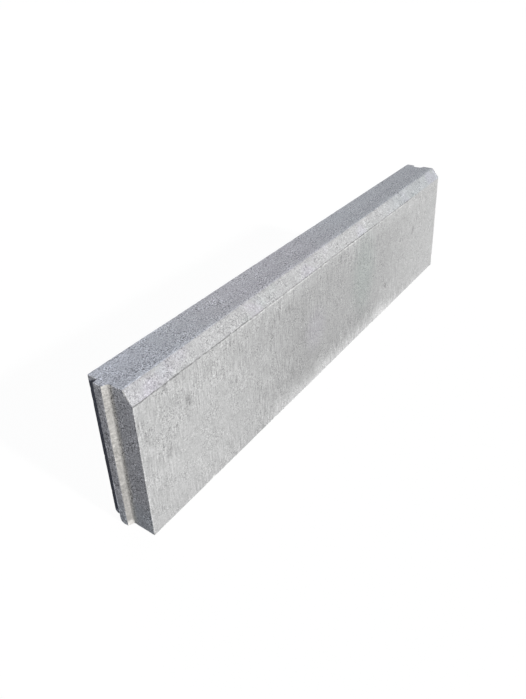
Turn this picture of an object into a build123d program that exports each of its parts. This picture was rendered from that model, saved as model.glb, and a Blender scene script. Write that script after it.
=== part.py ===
from build123d import *
import os

# A concrete kerb stone, cast in one piece: a slab on edge with a bevel along the top of its front face,
# a tongue down one end and a groove down the other that takes the tongue of the next stone.
# It stands on its bed with +X from the tongue end to the groove end, +Y to the rear face and +Z up.
# The origin is the middle of the bed, and all sizes are in millimetres.

# The slab. Its length is the laid length, from end face to end face, without the tongue.
length = 1000.0
height = 250.0
thickness = 80.0

# The bevel, and how softly it turns into the top and into the front face.
bevel_width = 16.0
bevel_drop = 20.0
bevel_top_radius = 4.0
bevel_front_radius = 6.0

# The blunt edges that the mould leaves: the upright corners, and the rims of the bed and the top.
corner_radius = 2.5
rim_radius = 1.2

# The tongue, seen from above: its setback from the rear face, and how far each flank leans in to the tip.
tongue_setback = 19.5
tongue_width = 21.0
tongue_reach = 9.0
tongue_rear_lean = 0.5
tongue_front_lean = 4.5
tongue_root_radius = 3.0
tongue_tip_radius = 1.5

# The room that the groove leaves round the tongue of the next stone.
joint_clearance = 1.0

tongue_end = -length / 2
groove_end = length / 2
front = -thickness / 2
rear = thickness / 2


def joint_corners(end, room):
    """The tongue's corners in plan from rear to front, grown by some room, with its root on an end face."""
    reach = tongue_reach + room
    root_rear = rear - tongue_setback + room
    root_front = rear - tongue_setback - tongue_width - room
    tip_rear = root_rear - tongue_rear_lean * reach / tongue_reach
    tip_front = root_front + tongue_front_lean * reach / tongue_reach
    return [(end, root_rear), (end - reach, tip_rear), (end - reach, tip_front), (end, root_front)]


def mould_plan():
    """The outline that the mould box gives the stone, seen from above, with every corner rounded."""
    tongue = joint_corners(tongue_end, 0)
    groove = joint_corners(groove_end, joint_clearance)
    joint_radii = [tongue_root_radius, tongue_tip_radius, tongue_tip_radius, tongue_root_radius]
    front_corners = [(tongue_end, front), (groove_end, front)]
    rear_corners = [(groove_end, rear), (tongue_end, rear)]
    corners = front_corners + groove[::-1] + rear_corners + tongue
    radii = 2 * (2 * [corner_radius] + joint_radii)
    return make_face(FilletPolyline(*corners, radius=radii, close=True))


def bevelled_section():
    """The cross-section that the press head leaves, seen along the stone: a slab with one bevelled edge."""
    bed = [(front, 0), (rear, 0)]
    top = [(rear, height), (front + bevel_width, height), (front, height - bevel_drop)]
    radii = [0, 0, 0, bevel_top_radius, bevel_front_radius]
    return make_face(FilletPolyline(*bed, *top, radius=radii, close=True))


def kerb_stone():
    """The mould's plan raised to full height, its two rims blunted, then trimmed to the bevelled section."""
    block = extrude(mould_plan(), height)
    faces = block.faces().sort_by(Axis.Z)
    block = fillet(faces[0].edges() + faces[-1].edges(), rim_radius)
    tongue_tip = Plane(origin=(tongue_end - tongue_reach, 0, 0), x_dir=(0, 1, 0), z_dir=(1, 0, 0))
    return block & extrude(tongue_tip * bevelled_section(), tongue_reach + length)


os.makedirs("parts", exist_ok=True)
export_step(kerb_stone(), "parts/kerb_stone.step")
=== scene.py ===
import math
import random

import bmesh
import bpy
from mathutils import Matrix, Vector, kdtree, noise


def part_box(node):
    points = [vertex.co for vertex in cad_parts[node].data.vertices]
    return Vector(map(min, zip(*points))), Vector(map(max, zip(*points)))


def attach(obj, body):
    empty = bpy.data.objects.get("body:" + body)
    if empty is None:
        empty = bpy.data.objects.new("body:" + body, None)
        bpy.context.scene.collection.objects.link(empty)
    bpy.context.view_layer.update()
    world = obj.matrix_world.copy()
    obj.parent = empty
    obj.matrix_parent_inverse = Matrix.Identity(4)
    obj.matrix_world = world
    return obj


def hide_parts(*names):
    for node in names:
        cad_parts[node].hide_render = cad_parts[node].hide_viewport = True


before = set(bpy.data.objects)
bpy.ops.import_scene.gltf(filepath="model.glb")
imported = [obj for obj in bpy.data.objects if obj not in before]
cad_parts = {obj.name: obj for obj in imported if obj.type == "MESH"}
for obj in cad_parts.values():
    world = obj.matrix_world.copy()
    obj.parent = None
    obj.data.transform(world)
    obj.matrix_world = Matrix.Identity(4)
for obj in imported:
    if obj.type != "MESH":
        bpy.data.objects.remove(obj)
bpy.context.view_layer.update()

# The stone's box, from the frame. All sizes are in metres.
low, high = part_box("kerb_stone")
front, rear = low.y, high.y
groove_end = high.x
tongue_end = -groove_end
length = groove_end - tongue_end
thickness = rear - front
height = high.z

# The bevel along the top of the front face, and how far its two rounded turns reach each way.
bevel_width = 0.016
bevel_drop = 0.020
bevel_foot = height - bevel_drop
bevel_top_turn = 0.0019
bevel_front_turn = 0.0021

# The tongue in plan. Its flanks lean in from the root to the tip.
tongue_setback = 0.0195
tongue_width = 0.021
tongue_rear = rear - tongue_setback
tongue_front = tongue_rear - tongue_width
tongue_middle = (tongue_rear + tongue_front) / 2
tongue_tip = low.x
tongue_reach = tongue_end - tongue_tip
tongue_rear_lean = 0.0005
tongue_front_lean = 0.0045
tip_rear = tongue_rear - tongue_rear_lean
tip_front = tongue_front + tongue_front_lean

# The groove in plan, and the room that it leaves round a tongue like this one.
joint_room = 0.001
groove_floor = groove_end - tongue_reach - joint_room
mouth_rear = tongue_rear + joint_room
mouth_front = tongue_front - joint_room

# The rounded turns of the tongue and the groove in plan, and how many steps every rounded turn has.
root_turn = 0.0015
tip_front_turn = 0.0010
tip_rear_turn = 0.0015
turn_steps = 3

# The blunt arrises, and the angles from which edges count as sharp, look sharp and aren't flat.
arris = 0.0013
sharp_angle = math.radians(60)
crisp_angle = math.radians(50)
flat_angle = math.radians(1)

# The net that the faces are divided into, with narrow rows that hold the arrises crisp.
bevel_rows = 6
net_rise = bevel_drop / bevel_rows
net_depth = bevel_width / bevel_rows
net_run = 0.0032
net_gap = 0.0007
hold = 0.0005

# The line where the mould wall and the press head met, on the front face, and the rows beside it.
seam_height = height - 0.022
seam_rows = (-0.0018, -0.0006, 0.0006, 0.0018)

# How far each kind of relief is sunk below the moulded faces, and the size of its marks.
wave_size = 0.13
wave_depth = 0.0004
lump_size = 0.018
lump_depth = 0.00022
grain_size = 0.0055
grain_depth = 0.00025
drag_spacing = 0.0034
drag_length = 0.026
drag_depth = 0.00015
seam_half = 0.0009
seam_fade = 0.03
seam_depth = 0.0008
rub_size = 0.008
rub_reach = 0.0030
rub_depth = 0.0002
chip_depth = 0.0011
pit_depth = 0.0014

# The share of the grain that the sides have, and the share of the waves that the bed has.
side_grain = 0.35
bed_share = 0.3

# The shares of the arris, and of a point's gap from it, that the point may be sunk by at most.
arris_share = 0.4
gap_share = 0.5

# How much of a face's normal lies along an axis, for one that faces that way and for the tilted bevel.
square_on = 0.9
bevel_least = 0.4
bevel_most = 0.8

# Stretches of the seam along X that are cracked open, and those with a pale lip below, with their strengths.
seam_cracks = (
    (-0.49, -0.24, 1.0),
    (-0.24, 0.03, 0.6),
    (0.03, 0.20, 1.0),
    (0.20, 0.26, 0.5),
    (0.26, 0.34, 1.0),
)
seam_lips = (
    (-0.26, 0.12, 1.0),
    (0.12, 0.30, 0.6),
)

# The arrises of the tongue's tip and the groove's mouth, in plan.
joint_arrises = (
    Vector((tongue_tip, tip_rear)),
    Vector((tongue_tip, tip_front)),
    Vector((groove_end, mouth_rear)),
    Vector((groove_end, mouth_front)),
)

# Single chips and pits, each with its place, its reach and its share of the full depth.
arris_chips = (
    (Vector((tongue_end, front, 0.178)), 0.005, 0.9),
    (Vector((tongue_end, front, 0.062)), 0.004, 0.7),
    (Vector((tongue_end, front, 0.021)), 0.006, 0.9),
    (Vector((-0.368, front, 0)), 0.008, 1.0),
    (Vector((tongue_tip, tip_front, 0.004)), 0.007, 1.0),
    (Vector((tongue_tip, tip_front, height)), 0.007, 0.9),
    (Vector((tongue_end, -0.010, height)), 0.006, 0.8),
)
face_pits = (
    (Vector((-0.402, front, 0.176)), 0.008, 0.6),
    (Vector((-0.398, front, 0.168)), 0.006, 0.9),
    (Vector((-0.408, front, 0.165)), 0.005, 0.5),
    (Vector((-0.446, front, 0.120)), 0.005, 0.8),
    (Vector((-0.450, front, 0.112)), 0.006, 0.5),
    (Vector((0.367, front, 0.147)), 0.008, 0.7),
    (Vector((0.364, front, 0.140)), 0.006, 0.6),
    (Vector((0.233, front, 0.063)), 0.006, 0.9),
    (Vector((0.033, front, 0.214)), 0.005, 0.8),
    (Vector((0.033, front, 0.206)), 0.004, 0.7),
    (Vector((tongue_end, -0.0194, 0.0775)), 0.0035, 0.9),
)

# Chips and pits at random points: the seeds of their chance, their reaches and their shares of the depth.
chip_seed = 3
chip_count = 120
smallest_chip = 0.0018
largest_chip = 0.0045
pit_seed = 8
smallest_pit = 0.0016
largest_pit = 0.0042
least_share = 0.3
share_range = 0.5

# How far the corner that is knocked off the foot of the tongue end, at the rear, reaches along X, Y and Z.
lost_corner = Vector((0.006, 0.003, 0.018))

# The blow that dulled the rear corner of the tongue's foot: how far it drove the corner in, and its reach.
foot_blow = Vector((0.0005, -0.0012, 0.0008))
blow_reach = 0.006

# The drag lines of the finish, which stand closer than those of the relief.
line_spacing = 0.0025
line_depth = 0.00025

# A reach past the whole stone, for a patch of a finish that has no bounds along an axis.
unbounded = 1

# The camera, fitted to the stone's corners as the photograph frames them.
camera_place = (-0.9084, -0.5542, 0.7314)
camera_turn = (62.044, 2.516, -54.676)
camera_sensor = 36
camera_lens = 32.918
camera_shift = (0.0018, -0.0943)
camera_clip = 0.05

# The stage: a round floor and its wall, far larger than the stone, and the sky above them.
floor_radius = 30
floor_sides = 96
floor_drop = 0.0005
wall_height = 40
floor_glow = 0.955
sky_colour = (0.92, 0.94, 1.03, 1)
sky_strength = 0.43

# Points closer than this are at the same place, and so are those that agree to this many digits.
same_place = 1e-5
same_digits = 5


def near(a, b):
    return abs(a - b) < same_place


def pick(kind, rule):
    """In edit mode, selects only those vertices, edges or faces of the mesh that the rule holds for."""
    bpy.ops.mesh.select_mode(type=kind)
    bpy.ops.mesh.select_all(action="DESELECT")
    mesh = bmesh.from_edit_mesh(bpy.context.edit_object.data)
    for part in {"VERT": mesh.verts, "EDGE": mesh.edges, "FACE": mesh.faces}[kind]:
        if rule(part):
            part.select_set(True)
    mesh.select_flush_mode()
    bmesh.update_edit_mesh(bpy.context.edit_object.data)


def pick_corner(x, y):
    """Selects the corner of the plan at that place."""
    pick("VERT", lambda corner: near(corner.co.x, x) and near(corner.co.y, y))


def cut(point, normal, **how):
    """Cuts the whole mesh along a plane."""
    bpy.ops.mesh.select_all(action="SELECT")
    bpy.ops.mesh.bisect(plane_co=point, plane_no=normal, threshold=same_place, **how)


def shift(y):
    """Moves what is selected across the stone."""
    bpy.ops.transform.translate(value=(0, y, 0))


# The stone's plan, as the mould box gives it.

def join_faces():
    """Makes the plan one face again, with no lines across it."""
    bpy.ops.mesh.select_all(action="SELECT")
    bpy.ops.mesh.dissolve_limited(angle_limit=flat_angle)


def draw_tongue():
    """Draws the tongue out of one end of the plan and leans its flanks in."""
    cut((0, tongue_rear, 0), (0, 1, 0))
    cut((0, tongue_front, 0), (0, 1, 0))
    half = tongue_width / 2 + same_place

    def at_root(corner):
        return near(corner.co.x, tongue_end) and abs(corner.co.y - tongue_middle) < half

    pick("EDGE", lambda edge: all(at_root(corner) for corner in edge.verts))
    bpy.ops.mesh.extrude_edges_move(TRANSFORM_OT_translate={"value": (tongue_tip - tongue_end, 0, 0)})
    join_faces()
    pick_corner(tongue_tip, tongue_rear)
    shift(-tongue_rear_lean)
    pick_corner(tongue_tip, tongue_front)
    shift(tongue_front_lean)


def cut_groove():
    """Cuts the groove into the other end of the plan, with flanks that follow the tongue's."""
    cut((0, mouth_rear, 0), (0, 1, 0))
    cut((0, mouth_front, 0), (0, 1, 0))
    cut((groove_floor, 0, 0), (1, 0, 0))

    def in_groove(face):
        middle = face.calc_center_median()
        return middle.x > groove_floor and mouth_front < middle.y < mouth_rear

    pick("FACE", in_groove)
    bpy.ops.mesh.delete(type="FACE")
    join_faces()
    growth = (groove_end - groove_floor) / tongue_reach
    pick_corner(groove_floor, mouth_rear)
    shift(-tongue_rear_lean * growth)
    pick_corner(groove_floor, mouth_front)
    shift(tongue_front_lean * growth)


def round_corners(rule, reach):
    """Rounds the corners of the plan that the rule holds for."""
    pick("VERT", rule)
    bpy.ops.mesh.bevel(offset=reach, offset_type="OFFSET", segments=turn_steps, affect="VERTICES")


def lay_out_plan():
    """Makes the stone as a flat plan on the floor, with the corners of its tongue and groove rounded."""
    bpy.ops.mesh.primitive_plane_add(size=1, location=(0, 0, 0))
    stone = bpy.context.object
    stone.name = stone.data.name = "kerb_stone_cast"
    bpy.ops.object.mode_set(mode="EDIT")
    bpy.ops.transform.resize(value=(length, thickness, 1))
    draw_tongue()
    cut_groove()

    def at_root(corner):
        on_end = near(corner.co.x, tongue_end) or near(corner.co.x, groove_end)
        return on_end and abs(corner.co.y) < rear - same_place

    def at_tip(corner):
        return near(corner.co.x, tongue_tip) or near(corner.co.x, groove_floor)

    round_corners(at_root, root_turn)
    round_corners(lambda corner: at_tip(corner) and corner.co.y < tongue_middle, tip_front_turn)
    round_corners(lambda corner: at_tip(corner) and corner.co.y > tongue_middle, tip_rear_turn)
    return stone


# The stone's body, raised from the plan.

def round_edge(y, z, reach):
    """Rounds the edge that runs along the stone at that place."""
    pick("EDGE", lambda edge: all(near(end.co.y, y) and near(end.co.z, z) for end in edge.verts))
    bpy.ops.mesh.bevel(offset=reach, offset_type="OFFSET", segments=turn_steps, affect="EDGES")


def raise_and_bevel():
    """Raises the plan to full height, cuts the bevel along the front and softens every arris."""
    bpy.ops.mesh.select_all(action="SELECT")
    bpy.ops.mesh.extrude_region_move(TRANSFORM_OT_translate={"value": (0, 0, height)})
    bpy.ops.mesh.select_all(action="SELECT")
    bpy.ops.mesh.normals_make_consistent(inside=False)
    outwards = (0, -bevel_drop, bevel_width)
    cut((0, front, bevel_foot), outwards, clear_outer=True, use_fill=True)
    round_edge(front + bevel_width, height, bevel_top_turn)
    round_edge(front, bevel_foot, bevel_front_turn)
    pick("EDGE", lambda edge: edge.is_manifold and edge.calc_face_angle() > sharp_angle)
    bpy.ops.mesh.bevel(
        offset=arris,
        offset_type="OFFSET",
        segments=turn_steps,
        affect="EDGES",
        clamp_overlap=False,
    )


def knock_corner():
    """Knocks the rear corner off the foot of the tongue end."""
    outwards = (-1 / lost_corner.x, 1 / lost_corner.y, -1 / lost_corner.z)
    cut((tongue_end + lost_corner.x, rear, 0), outwards, clear_outer=True, use_fill=True)


def net_lines(axis, start, step, extra):
    """Places for cuts across an axis: the extra ones, and even steps that keep clear of what is there."""
    mesh = bmesh.from_edit_mesh(bpy.context.edit_object.data)
    taken = sorted({round(corner.co[axis], same_digits) for corner in mesh.verts})
    most = int((taken[-1] - taken[0]) / step) + 2
    lines = list(extra)
    for k in range(-most, most):
        line = start + k * step
        clear = all(abs(line - other) > net_gap for other in taken + extra)
        if clear and taken[0] < line < taken[-1]:
            lines.append(line)
    return lines


def divide_faces():
    """Divides every face into a net of cells, in rows that follow the bevel and close up at the seam."""
    edge = arris + hold
    root = root_turn + hold
    end_lines = [tongue_tip + tip_front_turn + hold, tongue_end - root, tongue_end + edge, groove_end - edge]
    root_lines = [tongue_front - root, tongue_rear + root]
    tip_lines = [tip_front + tip_front_turn + hold, tip_rear - tip_rear_turn - hold]
    side_lines = [front + edge, rear - edge]
    seam_lines = [seam_height + row for row in seam_rows]
    runs = net_lines(0, 0, net_run, end_lines)
    depths = net_lines(1, front, net_depth, root_lines + tip_lines + side_lines)
    rises = net_lines(2, bevel_foot, net_rise, seam_lines + [edge, height - edge])
    for axis, lines in enumerate((runs, depths, rises)):
        across = Vector((0, 0, 0))
        across[axis] = 1
        for line in lines:
            cut(across * line, across)
    bpy.ops.mesh.select_all(action="SELECT")
    bpy.ops.mesh.remove_doubles(threshold=same_place)
    bpy.ops.mesh.normals_make_consistent(inside=False)
    pick("FACE", lambda face: len(face.verts) > 4)
    bpy.ops.mesh.quads_convert_to_tris()


def dull_tongue_foot():
    """Drives in the rear corner of the tongue's foot, and less and less of what is round it."""
    corner = Vector((tongue_tip, tip_rear, 0))
    pick("VERT", lambda point: (point.co - corner).length < 2 * arris)
    bpy.ops.transform.translate(
        value=foot_blow,
        use_proportional_edit=True,
        proportional_edit_falloff="SMOOTH",
        proportional_size=blow_reach,
    )


# Relief. All of it is sunk into the moulded faces, so the stone never grows past its moulded size.

def speckle(place, size):
    """Smooth chance from 0 to 1, in lumps of about that size."""
    return 0.5 + 0.5 * noise.noise(place / size)


def drag_line(place):
    """Chance from 0 to 1 in upright lines, as the mould walls drag them when they are drawn off."""
    return 0.5 + 0.5 * noise.noise(Vector((place.x / drag_spacing, place.y, place.z / drag_length)))


def arris_gap(place):
    """How far a point lies from the nearest arris. The two blunt edges of the bevel aren't counted."""
    from_end = place.x - (tongue_end if place.x > tongue_end - same_place else tongue_tip)
    from_bevel = (place.y - front) * bevel_drop + (height - place.z) * bevel_width - bevel_width * bevel_drop
    from_skin = min(place.y - front, height - place.z, from_bevel / math.hypot(bevel_width, bevel_drop))
    from_faces = sorted((from_end, groove_end - place.x, from_skin, rear - place.y, place.z))
    in_plan = Vector((place.x, place.y))
    return min([from_faces[1]] + [(in_plan - corner).length for corner in joint_arrises])


def shares_at(stone, rule):
    """The rule's share, from 0 to 1, at every point of the stone."""
    return [min(1, max(0, rule(point.co, point.normal))) for point in stone.data.vertices]


def deepen(depths, depth, shares):
    """Adds each point's share of a depth to how deep the points are sunk already."""
    for index, share in enumerate(shares):
        depths[index] += depth * share


def keep(stone, name, shares):
    """Keeps the shares on the stone's points, where its finishes can read them."""
    stone.data.attributes.new(name, "FLOAT", "POINT").data.foreach_set("value", shares)


def sink(stone, depths):
    """Sinks every point of the stone along its normal to its depth."""
    deepest = max(depths)
    group = stone.vertex_groups.new(name="relief")
    for index, depth in enumerate(depths):
        group.add([index], depth / deepest, "REPLACE")
    bpy.ops.object.modifier_add(type="DISPLACE")
    displace = stone.modifiers[-1]
    displace.vertex_group = "relief"
    displace.mid_level = 0
    displace.strength = -deepest
    bpy.ops.object.modifier_apply(modifier=displace.name)
    stone.vertex_groups.clear()


def cast_faces(stone, depths):
    """The unevenness of the cast faces: slow waves, lumps, the open grain and the drag lines."""

    def waves(place, normal):
        return speckle(place, wave_size) * (bed_share if normal.z < -square_on else 1)

    def lumps(place, normal):
        return speckle(place, lump_size)

    def grain(place, normal):
        return speckle(place, grain_size) * (1 if normal.z > bevel_most else side_grain)

    def drag(place, normal):
        return drag_line(place) if abs(normal.y) > square_on else 0

    for depth, rule in ((wave_depth, waves), (lump_depth, lumps), (grain_depth, grain), (drag_depth, drag)):
        deepen(depths, depth, shares_at(stone, rule))


def open_seam(stone, depths):
    """The ragged seam on the front: a crack where the mould gaped, and a lip where it closed. The finish
    paints shade into the crack and a pale highlight on the lip.
    """

    def by_seam(place, reach):
        return place.y < front + bevel_width / 4 and abs(place.z - seam_height) <= reach

    def within(place, stretches):
        ragged = seam_fade * noise.noise(place / seam_fade)
        share = 0
        for start, end, strength in stretches:
            inside = min(place.x + ragged - start, end - place.x - ragged)
            share = max(share, strength * min(1, max(0, inside / seam_fade + 0.5)))
        return share

    def broken(place, size, gain, loss):
        return gain * speckle(place, size) - loss

    def crack(place, normal):
        if not by_seam(place, reach=3 * seam_half):
            return 0
        return within(place, seam_cracks) * broken(place, size=0.007, gain=2.2, loss=0.2)

    def lip(place, normal):
        if not by_seam(place, reach=6 * seam_half):
            return 0
        return within(place, seam_lips) * broken(place, size=0.010, gain=2.4, loss=0.5)

    def gape(place, normal):
        return crack(place, normal) if abs(place.z - seam_height) < seam_half else 0

    keep(stone, "seam_crack", shares_at(stone, crack))
    keep(stone, "seam_lip", shares_at(stone, lip))
    deepen(depths, seam_depth, shares_at(stone, gape))


def dents(stone, spots):
    """The shares of a scatter of round dents, each given by its place, its reach and its own share."""
    points = stone.data.vertices
    tree = kdtree.KDTree(len(points))
    for point in points:
        tree.insert(point.co, point.index)
    tree.balance()
    shares = [0.0] * len(points)
    for place, reach, share in spots:
        for _, index, gap in tree.find_range(place, reach):
            shares[index] = max(shares[index], share * (1 - (gap / reach) ** 2))
    return shares


def scatter(stone, chance, count, rule, smallest, largest):
    """Dents at random points that the rule holds for, sorted so that every run draws the same ones."""
    points = sorted(tuple(point.co) for point in stone.data.vertices if rule(point.co, point.normal))
    spots = []
    for _ in range(count):
        reach = smallest + (largest - smallest) * chance.random() ** 2
        spots.append((chance.choice(points), reach, least_share + share_range * chance.random()))
    return spots


def wear_arrises(stone, depths):
    """Rubs the arrises down and knocks chips out of them."""
    chance = random.Random(chip_seed)

    def rubbed(place, normal):
        return 1 - arris_gap(place) / (rub_reach * (0.5 + speckle(place, rub_size)))

    def at_arris(place, normal):
        return arris_gap(place) < arris

    rubs = shares_at(stone, rubbed)
    chips = list(arris_chips) + scatter(stone, chance, chip_count, at_arris, smallest_chip, largest_chip)
    knocks = dents(stone, chips)
    keep(stone, "worn", [max(pair) for pair in zip(rubs, knocks)])
    deepen(depths, rub_depth, rubs)
    deepen(depths, chip_depth, knocks)


def pit_faces(stone, depths):
    """Opens pits where air or loose grains left the faces, so many in each."""
    chance = random.Random(pit_seed)
    faces = (
        (160, lambda place, normal: normal.z > square_on),
        (60, lambda place, normal: bevel_least < normal.z < bevel_most),
        (60, lambda place, normal: normal.y < -square_on),
        (90, lambda place, normal: normal.y > square_on),
        (40, lambda place, normal: abs(normal.x) > square_on),
        (120, lambda place, normal: normal.z < -square_on),
    )
    spots = list(face_pits)
    for count, rule in faces:
        spots += scatter(stone, chance, count, rule, smallest_pit, largest_pit)
    pits = dents(stone, spots)
    keep(stone, "pits", pits)
    deepen(depths, pit_depth, pits)


def carve(stone):
    """Works out how deep every point lies below the moulded faces and sinks them all at once."""
    depths = [0.0] * len(stone.data.vertices)
    cast_faces(stone, depths)
    open_seam(stone, depths)
    wear_arrises(stone, depths)
    pit_faces(stone, depths)
    for point in stone.data.vertices:
        most = arris_share * arris + gap_share * arris_gap(point.co)
        depths[point.index] = min(depths[point.index], most)
    sink(stone, depths)


# Finishes.

class Finish:
    """A concrete finish, put together from values that are worked out at every point of the stone."""

    def __init__(self, name, colour):
        self.material = bpy.data.materials.new(name)
        self.material.use_nodes = True
        self.tree = self.material.node_tree
        self.shader = self.tree.nodes["Principled BSDF"]
        self.shader.inputs["Specular IOR Level"].default_value = 0.2
        self.place = self.tree.nodes.new("ShaderNodeTexCoord").outputs["Object"]
        self.colour = colour
        self.tone = 1.0
        self.relief = 0.0

    def node(self, kind, inputs, output=0, **settings):
        """Adds a node, fills its inputs with plain values or links, and gives one of its outputs."""
        node = self.tree.nodes.new(kind)
        for name, value in settings.items():
            setattr(node, name, value)
        for name, value in inputs.items():
            self.fill(node.inputs[name], value)
        return node.outputs[output]

    def fill(self, socket, value):
        if isinstance(value, bpy.types.NodeSocket):
            self.tree.links.new(value, socket)
        else:
            socket.default_value = value

    def work_out(self, operation, *values):
        return self.node("ShaderNodeMath", dict(enumerate(values)), operation=operation)

    def with_place(self, operation, *values):
        return self.node("ShaderNodeVectorMath", dict(enumerate(values)), operation=operation)

    def scaled(self, value, times, plus):
        return self.work_out("MULTIPLY_ADD", value, times, plus)

    def centred(self, value):
        """A value from 0 to 1, moved to lie evenly about 0."""
        return self.work_out("SUBTRACT", value, 0.5)

    def all_of(self, first, *others):
        """1 only where all of the shares are 1."""
        share = first
        for other in others:
            share = self.work_out("MULTIPLY", share, other)
        return share

    def clouds(self, size, stretch=(1, 1, 1), detail=2.0):
        """Soft clouds from 0 to 1 of about that size, drawn out along each axis by the stretch."""
        scale = [1 / (size * times) for times in stretch]
        point = self.with_place("MULTIPLY", self.place, scale)
        return self.node("ShaderNodeTexNoise", {"Vector": point, "Scale": 1.0, "Detail": detail}, "Fac")

    def ease(self, value, start, end):
        """0 before the start and 1 past the end, with a soft change between them."""
        inputs = {"Value": value, "From Min": start, "From Max": end}
        return self.node("ShaderNodeMapRange", inputs, "Result", interpolation_type="SMOOTHSTEP")

    def kept(self, name):
        """Shares that were kept on the stone's points."""
        return self.node("ShaderNodeAttribute", {}, "Fac", attribute_name=name)

    def along(self, axis):
        return self.node("ShaderNodeSeparateXYZ", {"Vector": self.place}, axis)

    def past(self, axis, start, end):
        """0 before a place on an axis and 1 past another."""
        return self.ease(self.along(axis), start, end)

    def ragged_past(self, axis, start, end, size, swing):
        """The same, made ragged in lumps of that size, by up to half the swing each way."""
        sway = self.centred(self.clouds(size, detail=3.0))
        return self.ease(self.scaled(sway, swing, self.along(axis)), start, end)

    def patch(self, middle, reach, core=0.2):
        """1 in the core of an oval patch, fading to 0 at its rim."""
        offset = self.with_place("DIVIDE", self.with_place("SUBTRACT", self.place, middle), reach)
        gap = self.node("ShaderNodeVectorMath", {0: offset}, "Value", operation="LENGTH")
        return self.ease(gap, 1, core)

    def vary(self, value, amount):
        """Lets a value from 0 to 1 lighten and darken the finish, by up to half the amount each way."""
        self.tone = self.scaled(self.centred(value), amount, self.tone)

    def shade(self, share, factor):
        """Darkens or lightens the finish by a factor where the share is 1."""
        self.tone = self.all_of(self.tone, self.scaled(share, factor - 1, 1.0))

    def lean(self, share, change):
        """Leans the colour by a change of red, green and blue where the share is 1."""
        self.colour = self.with_place("MULTIPLY_ADD", share, change, self.colour)

    def emboss(self, value, depth):
        """Lets a value from 0 to 1 stand up as fine relief."""
        self.relief = self.scaled(value, depth, self.relief)

    def complete(self):
        self.fill(self.shader.inputs["Base Color"], self.with_place("MULTIPLY", self.colour, self.tone))
        roughness = self.scaled(self.clouds(size=0.012), times=0.2, plus=0.78)
        self.fill(self.shader.inputs["Roughness"], roughness)
        inputs = {"Height": self.relief, "Distance": 1.0, "Strength": 1.0}
        self.fill(self.shader.inputs["Normal"], self.node("ShaderNodeBump", inputs, "Normal"))
        return self.material


def add_grain(finish, size, amount, depth):
    """Grains of sand in the paste, light and dark, with pores between them, more open in some places."""
    open_size = 9 * size
    pore_size = 1.2 * size
    glint_size = 0.9 * size
    coarse = finish.clouds(size, detail=3.0)
    fine = finish.clouds(size / 2, detail=2.0)
    open_places = finish.ease(finish.clouds(open_size), start=0.35, end=0.65)
    openness = finish.scaled(open_places, times=0.7, plus=0.55)
    swing = finish.work_out("ADD", finish.centred(coarse), finish.centred(fine))
    finish.vary(finish.scaled(swing, times=openness, plus=0.5), amount)
    pores = finish.all_of(finish.ease(finish.clouds(pore_size), start=0.40, end=0.28), openness)
    glints = finish.all_of(finish.ease(finish.clouds(glint_size), start=0.62, end=0.74), openness)
    finish.shade(pores, factor=1 - 0.28 * amount)
    finish.shade(glints, factor=1 + 0.30 * amount)
    finish.emboss(coarse, depth)
    finish.emboss(fine, depth=0.6 * depth)


def add_wear(finish, paleness=1.25):
    """Pale worn arrises, and pits painted dark: dirt in them and painted shade in their hollows."""
    rubbed = finish.all_of(finish.kept("worn"), finish.ease(finish.clouds(size=0.005), start=0.40, end=0.60))
    finish.shade(rubbed, factor=paleness)
    finish.shade(finish.kept("pits"), factor=0.58)


def add_drag(finish, amount):
    """Short upright lines, dragged by the mould wall, stronger in some places than in others."""
    lines = finish.clouds(line_spacing, stretch=(1, 1, drag_length / line_spacing), detail=3.0)
    strong_places = finish.ease(finish.clouds(size=0.09), start=0.40, end=0.62)
    strength = finish.scaled(strong_places, times=0.8, plus=0.2)
    swing = finish.all_of(finish.centred(lines), strength)
    finish.vary(finish.work_out("ADD", swing, 0.5), amount)
    finish.emboss(lines, line_depth)


def add_seam(finish):
    """The line of the seam: a dark ragged crack, whose darkness is painted shade in the gap, and the pale
    lip just under it, a painted highlight along its ridge.
    """
    wander = 0.003
    lip_drop = 2.6 * seam_half
    place = finish.scaled(finish.clouds(size=0.006, detail=3.0), times=wander, plus=finish.along("Z"))
    rise = finish.work_out("SUBTRACT", place, seam_height + wander / 2)
    crack = finish.ease(finish.work_out("ABSOLUTE", rise), start=1.9 * seam_half, end=0.6 * seam_half)
    broken = finish.ease(finish.clouds(size=0.009, detail=3.0), start=0.30, end=0.46)
    under = finish.work_out("ABSOLUTE", finish.work_out("ADD", rise, lip_drop))
    lip = finish.ease(under, start=1.9 * seam_half, end=0.7 * seam_half)
    # Painted shade in the crack, and a painted highlight on the lip under it.
    finish.shade(finish.all_of(crack, broken, finish.kept("seam_crack")), factor=0.46)
    finish.shade(finish.all_of(lip, finish.kept("seam_lip")), factor=1.40)


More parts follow.
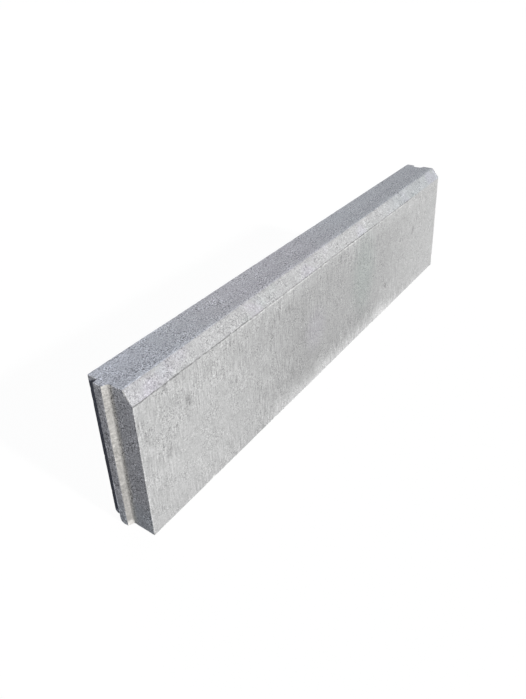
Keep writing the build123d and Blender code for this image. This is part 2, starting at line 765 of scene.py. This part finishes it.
def pressed_top():
    """The top, darker towards the front and the far end, with a pale verge along the bevel."""
    verge = front + bevel_width
    top = Finish("pressed_top", colour=(0.378, 0.390, 0.420))
    add_grain(top, size=0.0028, amount=1.85, depth=0.0006)
    top.vary(top.clouds(size=0.011), amount=0.10)
    top.vary(top.clouds(size=0.05), amount=0.17)
    top.vary(top.clouds(size=0.25), amount=0.10)
    top.shade(top.past("X", start=-0.3, end=0.5), factor=0.92)
    top.shade(top.past("Y", start=0.02, end=-0.01), factor=0.922)
    top.lean(top.clouds(size=0.06), change=(-0.004, 0.0, -0.008))
    warm = top.patch(middle=(-0.14, 0, height), reach=(0.26, unbounded, unbounded), core=0.3)
    top.lean(warm, change=(0.013, 0.0, 0.002))
    top.lean(top.past("X", start=-0.30, end=-0.48), change=(0.004, 0.006, 0.022))
    broad = top.ragged_past("Y", start=verge + 0.013, end=verge + 0.002, size=0.020, swing=0.010)
    narrow = top.ragged_past("Y", start=verge + 0.004, end=verge - 0.001, size=0.012, swing=0.012)
    top.shade(broad, factor=1.07)
    top.shade(narrow, factor=1.12)
    near_corner = top.patch(middle=(tongue_end, rear, height), reach=(0.22, 0.022, unbounded), core=0.4)
    top.shade(near_corner, factor=1.05)
    add_wear(top, paleness=1.45)
    return top.complete()


def pressed_bevel():
    """The bevel, paler in its middle and at the tongue end, with faint tints along it."""
    bevel = Finish("pressed_bevel", colour=(0.390, 0.391, 0.395))
    add_grain(bevel, size=0.0030, amount=1.15, depth=0.0003)
    bevel.vary(bevel.clouds(size=0.014), amount=0.40)
    bevel.vary(bevel.clouds(size=0.05), amount=0.16)
    pale_middle = bevel.patch(middle=(0.10, front, height), reach=(0.26, unbounded, unbounded), core=0.4)
    bevel.shade(pale_middle, factor=1.05)
    head = bevel.ragged_past("Z", start=height - 0.004, end=height, size=0.012, swing=0.010)
    bevel.shade(head, factor=0.88)
    near_end = bevel.patch(middle=(tongue_end, front, height), reach=(0.07, unbounded, unbounded), core=0.3)
    bevel.shade(near_end, factor=1.04)
    bevel.lean(near_end, change=(0.001, -0.001, 0.008))
    bevel.lean(bevel.past("X", start=0.18, end=0.32), change=(-0.023, -0.010, -0.003))
    bevel.lean(bevel.ease(bevel.clouds(size=0.055), start=0.5, end=0.65), change=(0.008, 0.0, 0.020))
    bevel.lean(bevel.ease(bevel.clouds(size=0.07), start=0.5, end=0.35), change=(-0.008, 0.006, 0.0))
    add_seam(bevel)
    add_wear(bevel)
    return bevel.complete()


def dragged_face(name, paleness):
    """The finish of a face that the mould wall was drawn up along, with its arrises worn that pale."""
    face = Finish(name, colour=(0.414, 0.415, 0.413))
    add_grain(face, size=0.0027, amount=0.92, depth=0.0003)
    add_drag(face, amount=1.15)
    face.vary(face.clouds(size=0.022), amount=0.17)
    face.vary(face.clouds(size=0.16), amount=0.16)
    add_wear(face, paleness)
    return face


def front_face():
    """The front, with the damp middle, the pale foot and the faint tints that it has."""
    face = dragged_face("front_face", paleness=1.4)

    def spot(x, z, along, up=unbounded, core=0.2):
        return face.patch(middle=(x, front, z), reach=(along, unbounded, up), core=core)

    face.shade(spot(x=0.032, z=0.120, along=0.416, up=0.32, core=0.25), factor=0.832)
    head_foot = seam_height - 0.036
    head_top = seam_height - 0.014
    head = face.ragged_past("Z", start=head_foot, end=head_top, size=0.02, swing=0.012)
    face.shade(face.all_of(head, spot(x=0.10, z=seam_height, along=0.40, core=0.5)), factor=1.11)
    nick_start = tongue_end + 0.0022
    nick_end = tongue_end + 0.0008
    nicks = face.ragged_past("X", start=nick_start, end=nick_end, size=0.006, swing=0.006)
    face.shade(nicks, factor=1.28)
    face.shade(spot(x=-0.23, z=0.185, along=0.13, up=0.06, core=0.3), factor=0.94)
    uneven = face.clouds(size=0.03, stretch=(0.6, 1, 1.6), detail=4.0)
    rise = face.scaled(uneven, times=0.05, plus=face.along("Z"))
    tide = face.ease(rise, start=0.105, end=0.085)
    splash = face.ease(rise, start=0.072, end=0.032)
    foot = face.ease(rise, start=0.046, end=0.030)
    face.shade(face.all_of(tide, spot(x=-0.02, z=0, along=0.24, core=0.6)), factor=0.95)
    face.shade(face.all_of(splash, spot(x=0.02, z=0, along=0.27, core=0.65)), factor=1.27)
    face.shade(face.all_of(foot, spot(x=0.15, z=0, along=0.36, core=0.7)), factor=1.12)
    face.shade(spot(x=-0.12, z=0.12, along=0.06, up=0.16, core=0.3), factor=0.945)
    face.shade(spot(x=0.12, z=0.12, along=0.06, up=0.16, core=0.3), factor=0.95)
    face.lean(spot(x=0.127, z=0.14, along=0.07, up=0.12), change=(-0.014, 0.006, -0.002))
    face.lean(spot(x=-0.06, z=0.11, along=0.05, up=0.06), change=(0.002, -0.004, 0.012))
    add_seam(face)
    return face.complete()


def rear_face():
    return dragged_face("rear_face", paleness=1.25).complete()


def pale_edge(finish):
    """The low part of the tip's rear arris, made pale."""
    at_tip = finish.past("X", start=tongue_end - 0.005, end=tongue_end - 0.007)
    at_rear = finish.past("Y", start=tongue_rear - 0.0042, end=tongue_rear - 0.0026)
    low_place = (tongue_tip, tongue_rear, 0.045)
    low_part = finish.patch(middle=low_place, reach=(unbounded, unbounded, 0.05), core=0.5)
    finish.shade(finish.all_of(at_tip, at_rear, low_part), factor=1.9)


def painted_tongue_shadow(end):
    """The tongue's cast shadow, painted on the strip behind it: below the slanted line of the tongue's top
    edge, over the outer part of the strip and all of its slanted head, but not its foot.
    """
    slope = 0.51
    slant_top = height + slope * tongue_rear
    slant = end.scaled(end.along("Y"), times=slope, plus=end.along("Z"))
    under_slant = end.ease(slant, start=slant_top + 0.0005, end=slant_top - 0.0025)
    outer = end.ragged_past("Y", start=rear - 0.015, end=rear - 0.009, size=0.012, swing=0.006)
    upper = end.past("Z", start=height - 0.030, end=height - 0.015)
    past_root = end.past("Y", start=tongue_rear, end=tongue_rear + 0.001)
    above_foot = end.past("Z", start=0.002, end=0.012)
    return end.all_of(under_slant, end.work_out("MAXIMUM", outer, upper), past_root, above_foot)


def end_face():
    """The end faces, with the tongue's cast shadow painted dark on the rear strip beside it."""
    end = Finish("end_face", colour=(0.408, 0.408, 0.409))
    add_grain(end, size=0.0026, amount=2.6, depth=0.0005)
    end.vary(end.clouds(size=0.04), amount=0.14)
    add_wear(end, paleness=1.4)
    by_tongue = end.past("X", start=0, end=-0.1)
    on_end = end.all_of(by_tongue, end.past("X", start=tongue_end - 0.004, end=tongue_end - 0.001))
    end.shade(end.all_of(on_end, end.past("Z", start=0.16, end=0.23)), factor=1.08)
    end.shade(end.all_of(on_end, end.past("Z", start=0.15, end=0.07)), factor=0.95)
    end.lean(end.all_of(by_tongue, end.past("Z", start=0.07, end=0.02)), change=(-0.014, 0.0, 0.006))
    # Painted shadow: the tongue's cast shadow on the strip behind it, darkened and tinted blue.
    painted_shadow = end.all_of(painted_tongue_shadow(end), by_tongue)
    end.shade(painted_shadow, factor=0.20)
    end.lean(painted_shadow, change=(-0.03, -0.01, 0.06))
    margin = end.ragged_past("Y", start=front + 0.0055, end=front + 0.002, size=0.008, swing=0.003)
    end.shade(end.all_of(by_tongue, margin), factor=0.86)
    pale_edge(end)
    # Painted bounce light, with some dirt: a warm tint on the end beside the tongue's root, where the lit
    # flank throws its light.
    root = end.patch(middle=(tongue_end, tongue_front, height / 2), reach=(unbounded, 0.010, unbounded))
    end.lean(end.all_of(on_end, root), change=(0.024, 0.010, -0.024))
    return end.complete()


def joint_flank():
    """The flanks of the tongue and the groove, paler and warmer than the other faces."""
    flank = Finish("joint_flank", colour=(0.446, 0.435, 0.415))
    add_grain(flank, size=0.0046, amount=0.75, depth=0.0003)
    flank.vary(flank.clouds(size=0.05), amount=0.14)
    flank.vary(flank.clouds(size=0.008), amount=0.20)
    # Painted shade, with some dirt, in the inner corner at the tongue's root, where the flank meets the end.
    flank.shade(flank.past("X", start=tongue_end - 0.0020, end=tongue_end - 0.0004), factor=0.80)
    pale_edge(flank)
    flank.shade(flank.past("Z", start=0.17, end=0.03), factor=0.82)
    foot = (tongue_end - 0.004, tongue_front + 0.002, 0.004)
    head = (tongue_end - 0.006, tongue_front + 0.0025, height - 0.004)
    flank.shade(flank.patch(middle=foot, reach=(0.008, 0.008, 0.009), core=0.4), factor=1.75)
    flank.shade(flank.patch(middle=head, reach=(0.010, 0.010, 0.012)), factor=1.20)
    add_wear(flank)
    return flank.complete()


def bed_face():
    bed = Finish("bed_face", colour=(0.385, 0.383, 0.378))
    add_grain(bed, size=0.0065, amount=1.4, depth=0.0010)
    bed.vary(bed.clouds(size=0.06), amount=0.2)
    add_wear(bed)
    return bed.complete()


def dress(stone):
    """Gives each of the moulded faces its own finish. A later rule takes over from those before it."""
    mostly = 0.7
    partly = 0.4
    flat_top = 0.82
    flank_endways = 0.15
    flank_sideways = 0.5
    flank_rear = rear - 4 * arris

    def on_front(normal):
        return normal.y < -mostly

    def on_bevel(normal):
        return normal.y < -partly

    def on_flank(normal):
        return abs(normal.x) > flank_endways and abs(normal.y) > flank_sideways

    finishes = (
        (rear_face(), lambda middle, normal: True),
        (front_face(), lambda middle, normal: on_front(normal) and middle.z < seam_height),
        (pressed_bevel(), lambda middle, normal: on_bevel(normal) and middle.z > seam_height),
        (pressed_top(), lambda middle, normal: normal.z > flat_top),
        (bed_face(), lambda middle, normal: normal.z < -mostly),
        (end_face(), lambda middle, normal: abs(normal.x) > mostly),
        (joint_flank(), lambda middle, normal: on_flank(normal) and abs(middle.y) < flank_rear),
    )
    for index, (material, rule) in enumerate(finishes):
        stone.data.materials.append(material)
        pick("FACE", lambda face: rule(face.calc_center_median(), face.normal))
        stone.active_material_index = index
        bpy.ops.object.material_slot_assign()


# The stage.

def lay_floor():
    """A pale floor with a wall round it, which lights nothing."""
    bpy.ops.mesh.primitive_circle_add(
        vertices=floor_sides,
        radius=floor_radius,
        fill_type="NGON",
        location=(0, 0, -floor_drop),
    )
    floor = bpy.context.object
    bpy.ops.object.mode_set(mode="EDIT")
    pick("EDGE", lambda edge: edge.is_boundary)
    bpy.ops.mesh.extrude_edges_move(TRANSFORM_OT_translate={"value": (0, 0, wall_height)})
    bpy.ops.object.mode_set(mode="OBJECT")
    floor.name = "studio_floor"
    paint = bpy.data.materials.new("pale_floor")
    paint.use_nodes = True
    shader = paint.node_tree.nodes["Principled BSDF"]
    shader.inputs["Base Color"].default_value = (0.05, 0.05, 0.05, 1)
    shader.inputs["Roughness"].default_value = 1
    shader.inputs["Specular IOR Level"].default_value = 0
    shader.inputs["Emission Color"].default_value = (1, 1, 1, 1)
    shader.inputs["Emission Strength"].default_value = floor_glow
    floor.data.materials.append(paint)
    floor.visible_diffuse = False
    floor.visible_glossy = False
    floor.visible_shadow = False


def sun(name, towards, strength, colour, softness):
    """A soft sun that shines from that side."""
    bpy.ops.object.light_add(type="SUN", location=towards)
    light = bpy.context.object
    light.name = name
    light.rotation_euler = Vector(towards).to_track_quat("Z", "Y").to_euler()
    light.data.energy = strength
    light.data.color = colour
    light.data.angle = math.radians(softness)


def light_stage():
    world = bpy.data.worlds.new("studio")
    world.use_nodes = True
    sky = world.node_tree.nodes["Background"]
    sky.inputs["Color"].default_value = sky_colour
    sky.inputs["Strength"].default_value = sky_strength
    bpy.context.scene.world = world
    sun("key", towards=(-0.02, -1.0, 0.55), strength=3.4, colour=(1, 0.99, 0.955), softness=4)
    sun("rear_fill", towards=(0.7, 1.0, 0.25), strength=1.2, colour=(1, 0.98, 0.96), softness=30)
    bpy.context.scene.view_settings.view_transform = "Standard"


def set_camera():
    bpy.ops.object.camera_add(location=camera_place, rotation=[math.radians(turn) for turn in camera_turn])
    camera = bpy.context.object
    camera.data.sensor_width = camera_sensor
    camera.data.lens = camera_lens
    camera.data.shift_x, camera.data.shift_y = camera_shift
    camera.data.clip_start = camera_clip
    bpy.context.scene.camera = camera


bpy.ops.object.select_all(action="DESELECT")
stone = lay_out_plan()
raise_and_bevel()
knock_corner()
divide_faces()
dull_tongue_foot()
dress(stone)
bpy.ops.object.mode_set(mode="OBJECT")
carve(stone)
bpy.ops.object.shade_smooth_by_angle(angle=crisp_angle)

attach(stone, "root")
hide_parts("kerb_stone")
lay_floor()
light_stage()
set_camera()
